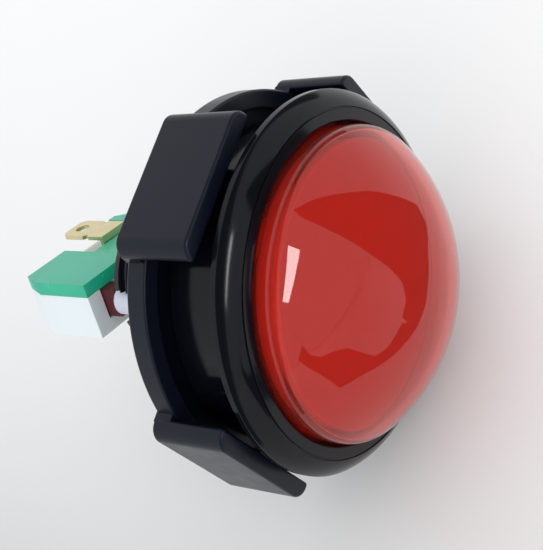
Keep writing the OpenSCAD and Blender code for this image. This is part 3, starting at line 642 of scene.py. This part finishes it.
def makeTable(t, c):
    # the button lies on one lug, so the table faces the opposite one
    up = Vector((math.cos(math.radians(t["angle"])), math.sin(math.radians(t["angle"])), 0))
    deeper = -Vector(c["down"])
    deeper = (deeper - up * deeper.dot(up)).normalized()
    side = Vector((0, 0, 1))
    other = side.cross(up)
    bm = bmesh.new()
    centre = -up * t["drop"] * mm
    corners = [centre + side * a * t["size"] + other * b * t["size"] for a, b in ((-1, -1), (1, -1), (1, 1), (-1, 1))]
    face = bm.faces.new([bm.verts.new(corner) for corner in corners])
    face.normal_update()
    if face.normal.dot(up) < 0:
        bmesh.ops.reverse_faces(bm, faces=[face])
    mesh = bpy.data.meshes.new("tableTop")
    bm.to_mesh(mesh)
    bm.free()
    obj = bpy.data.objects.new("tableTop", mesh)
    collection.objects.link(obj)
    material = bpy.data.materials.new("paleTable")
    material.use_nodes = True
    nodes, links = material.node_tree.nodes, material.node_tree.links
    shader = nodes["Principled BSDF"]
    coords = nodes.new("ShaderNodeTexCoord")
    noise = nodes.new("ShaderNodeTexNoise")
    noise.inputs["Scale"].default_value = 40.0
    mix = nodes.new("ShaderNodeMix")
    mix.data_type = "RGBA"
    mix.inputs[6].default_value = (*t["colour"], 1)
    mix.inputs[7].default_value = (*[channel * t["mottle"] for channel in t["colour"]], 1)
    links.new(coords.outputs["Object"], noise.inputs["Vector"])
    links.new(noise.outputs["Fac"], mix.inputs[0])
    # painted shade: the room's light falloff is painted into the table's colour, darker towards the camera
    along = nodes.new("ShaderNodeVectorMath")
    along.operation = "DOT_PRODUCT"
    along.inputs[1].default_value = deeper
    links.new(coords.outputs["Object"], along.inputs[0])
    place01 = nodes.new("ShaderNodeMapRange")
    place01.inputs["From Min"].default_value = t["near"]
    place01.inputs["From Max"].default_value = t["far"]
    links.new(along.outputs["Value"], place01.inputs["Value"])
    ramp = nodes.new("ShaderNodeValToRGB")
    ramp.color_ramp.interpolation = "B_SPLINE"
    stops = ramp.color_ramp.elements
    while len(stops) < len(t["steps"]):
        stops.new(0.5)
    for stop, (at, value) in zip(stops, t["steps"]):
        stop.position = at
        stop.color = (value, value, value, 1)
    links.new(place01.outputs["Result"], ramp.inputs["Fac"])
    # painted light and shade from side to side, strongest near the camera: one side of the table is lightened, the
    # other darkened
    across = nodes.new("ShaderNodeVectorMath")
    across.operation = "DOT_PRODUCT"
    across.inputs[1].default_value = deeper.cross(up)
    links.new(coords.outputs["Object"], across.inputs[0])
    side01 = nodes.new("ShaderNodeMapRange")
    side01.inputs["From Min"].default_value = -t["sideways"]
    side01.inputs["From Max"].default_value = t["sideways"]
    side01.inputs["To Min"].default_value, side01.inputs["To Max"].default_value = t["paintedSideShade"]
    links.new(across.outputs["Value"], side01.inputs["Value"])
    nearness = math1(material.node_tree, "SUBTRACT", 1.0, place01.outputs["Result"])
    paintedSideSway = math1(material.node_tree, "MULTIPLY", side01.outputs["Result"], nearness)
    both = nodes.new("ShaderNodeVectorMath")
    both.operation = "SCALE"
    links.new(ramp.outputs["Color"], both.inputs[0])
    links.new(math1(material.node_tree, "ADD", paintedSideSway, 1.0), both.inputs["Scale"])
    tone = nodes.new("ShaderNodeMix")
    tone.data_type = "RGBA"
    tone.blend_type = "MULTIPLY"
    tone.inputs[0].default_value = 1.0
    links.new(mix.outputs[2], tone.inputs[6])
    links.new(both.outputs["Vector"], tone.inputs[7])
    links.new(tone.outputs[2], shader.inputs["Base Color"])
    shader.inputs["Roughness"].default_value = 0.6
    shader.inputs["Specular IOR Level"].default_value = 0.2
    # seen from behind the table is clear, so that no view is blocked
    geometry = nodes.new("ShaderNodeNewGeometry")
    clear = nodes.new("ShaderNodeBsdfTransparent")
    blend = nodes.new("ShaderNodeMixShader")
    links.new(geometry.outputs["Backfacing"], blend.inputs["Fac"])
    links.new(shader.outputs["BSDF"], blend.inputs[1])
    links.new(clear.outputs["BSDF"], blend.inputs[2])
    links.new(blend.outputs["Shader"], nodes["Material Output"].inputs["Surface"])
    mesh.materials.append(material)
    return up


tableUp = makeTable(table, camera)

# image directions laid on the table
imageUp = -Vector(camera["down"])
imageUp = (imageUp - tableUp * imageUp.dot(tableUp)).normalized()
imageRight = Vector(camera["right"])
imageRight = (imageRight - tableUp * imageRight.dot(tableUp) - imageUp * imageRight.dot(imageUp)).normalized()

lights = {
    "window": dict(place=(-0.55, 0.3, 0.5), size=(0.7, 0.5), power=0.42, colour=(1.0, 1.0, 1.0)),
    "ceiling": dict(place=(0.1, 0.1, 0.9), size=(0.9, 0.9), power=1.0, colour=(1.0, 0.99, 0.97)),
    "roomSide": dict(place=(0.25, -0.6, 0.4), size=(0.6, 0.5), power=1.8, colour=(1.0, 0.99, 0.97)),
}


def makeLight(name, light):
    data = bpy.data.lights.new(name, "AREA")
    data.shape = "RECTANGLE"
    data.size, data.size_y = light["size"]
    data.energy = light["power"]
    data.color = light["colour"]
    obj = bpy.data.objects.new(name, data)
    obj.visible_glossy = False
    collection.objects.link(obj)
    across, ahead, height = light["place"]
    position = imageRight * across + imageUp * ahead + tableUp * height
    obj.matrix_world = Matrix.Translation(position) @ position.to_track_quat("Z", "Y").to_matrix().to_4x4()


for name, light in lights.items():
    makeLight(name, light)

# what the dome mirrors, drawn in picture pixels and thrown back off the dome
cards = {
    "windowPane": dict(outline=((288, 245), (300, 250), (288.5, 303), (282.5, 301.5)), reach=500, glow=14.0),
    "roomHigh": dict(outline=((293, 210), (315, 199), (345, 193), (368, 191), (392, 195), (417, 205), (426, 223),
        (428, 253), (428, 284), (425, 307), (408, 323), (402, 317), (406, 300), (402, 282), (388, 267), (368, 253),
        (345, 238), (322, 227), (302, 218)), reach=62, glow=0.1),
    "roomLow": dict(outline=((302, 345), (310, 355), (320, 357), (335, 351), (348, 348), (362, 353), (375, 356),
        (387, 348), (402, 323), (408, 323), (425, 307), (417, 327), (402, 347), (385, 362), (362, 375), (339, 388),
        (332, 382), (318, 373), (307, 367), (298, 360)), reach=62, glow=0.1),
}


def throwBack(pixel, reach, c, d):
    # follows a camera ray off the dome to a sphere of the given reach, in mm
    ray = Vector(c["right"]) * (pixel[0] - c["width"] / 2) + Vector(c["down"]) * (pixel[1] - c["height"] / 2)
    ray = (ray / c["focal"] + Vector(c["ahead"])).normalized()
    middle = Vector((0, 0, d["top"] - d["cap"]))
    start = Vector(c["position"]) - middle
    b = start.dot(ray)
    hit = start + ray * (-b - math.sqrt(b * b - start.dot(start) + d["cap"] ** 2))
    normal = hit.normalized()
    away = ray - normal * 2 * ray.dot(normal)
    b = hit.dot(away)
    return (hit + away * (-b + math.sqrt(b * b - hit.dot(hit) + reach ** 2)) + middle) * mm


def outlineCard(card):
    bm = bmesh.new()
    bm.faces.new([bm.verts.new(throwBack(pixel, card["reach"], camera, dome)) for pixel in card["outline"]])
    bmesh.ops.triangulate(bm, faces=bm.faces)
    return bm


# the dark room on the left, which the dome's shoulder mirrors as a ring
darkBand = dict(reach=90, middle=154, span=(-115, 80), low=-5, high=15, rise=52, glow=0.14, steps=24)


def bandCard(b):
    bm = bmesh.new()
    rows = []
    for k in range(b["steps"] + 1):
        turn = b["span"][0] + (b["span"][1] - b["span"][0]) * k / b["steps"]
        angle = math.radians(b["middle"] + turn)
        top = b["high"] + b["rise"] * max(math.cos(math.radians(turn)), 0) ** 2
        rows.append([bm.verts.new(Vector((math.cos(angle) * b["reach"], math.sin(angle) * b["reach"], z)) * mm)
            for z in (b["low"], top)])
    for a, c in zip(rows, rows[1:]):
        bm.faces.new((a[0], c[0], c[1], a[1]))
    return bm


def makeCard(name, bm, strength):
    mesh = bpy.data.meshes.new(name)
    bm.to_mesh(mesh)
    bm.free()
    obj = bpy.data.objects.new(name, mesh)
    collection.objects.link(obj)
    material = bpy.data.materials.new(name)
    material.use_nodes = True
    nodes, links = material.node_tree.nodes, material.node_tree.links
    nodes.remove(nodes["Principled BSDF"])
    glow = nodes.new("ShaderNodeEmission")
    glow.inputs["Strength"].default_value = strength
    links.new(glow.outputs[0], nodes["Material Output"].inputs["Surface"])
    mesh.materials.append(material)
    # mirrored only: no card is seen, lights anything or throws a shadow
    obj.visible_camera = obj.visible_diffuse = obj.visible_shadow = False
    obj.visible_transmission = obj.visible_volume_scatter = False


for name, card in cards.items():
    makeCard(name, outlineCard(card), card["glow"])
makeCard("darkBand", bandCard(darkBand), darkBand["glow"])

world = bpy.data.worlds.new("paleRoom")
bpy.context.scene.world = world
world.use_nodes = True


room = dict(seen=0.9, fill=0.85, colour=(0.975, 0.985, 1.0))


def makeWorld(tree, r):
    nodes, links = tree.nodes, tree.links
    background = nodes["Background"]
    path = nodes.new("ShaderNodeLightPath")
    first = nodes.new("ShaderNodeMath")
    first.operation = "MAXIMUM"
    second = nodes.new("ShaderNodeMath")
    second.operation = "MAXIMUM"
    links.new(path.outputs["Is Camera Ray"], first.inputs[0])
    links.new(path.outputs["Is Glossy Ray"], first.inputs[1])
    links.new(first.outputs[0], second.inputs[0])
    links.new(path.outputs["Is Transmission Ray"], second.inputs[1])
    strength = nodes.new("ShaderNodeMapRange")
    strength.inputs["To Min"].default_value = r["fill"]
    strength.inputs["To Max"].default_value = r["seen"]
    links.new(second.outputs[0], strength.inputs["Value"])
    links.new(strength.outputs["Result"], background.inputs["Strength"])
    background.inputs["Color"].default_value = (*r["colour"], 1)


makeWorld(world.node_tree, room)

bpy.context.scene.view_settings.view_transform = "Standard"
print("camera, table and lights made")
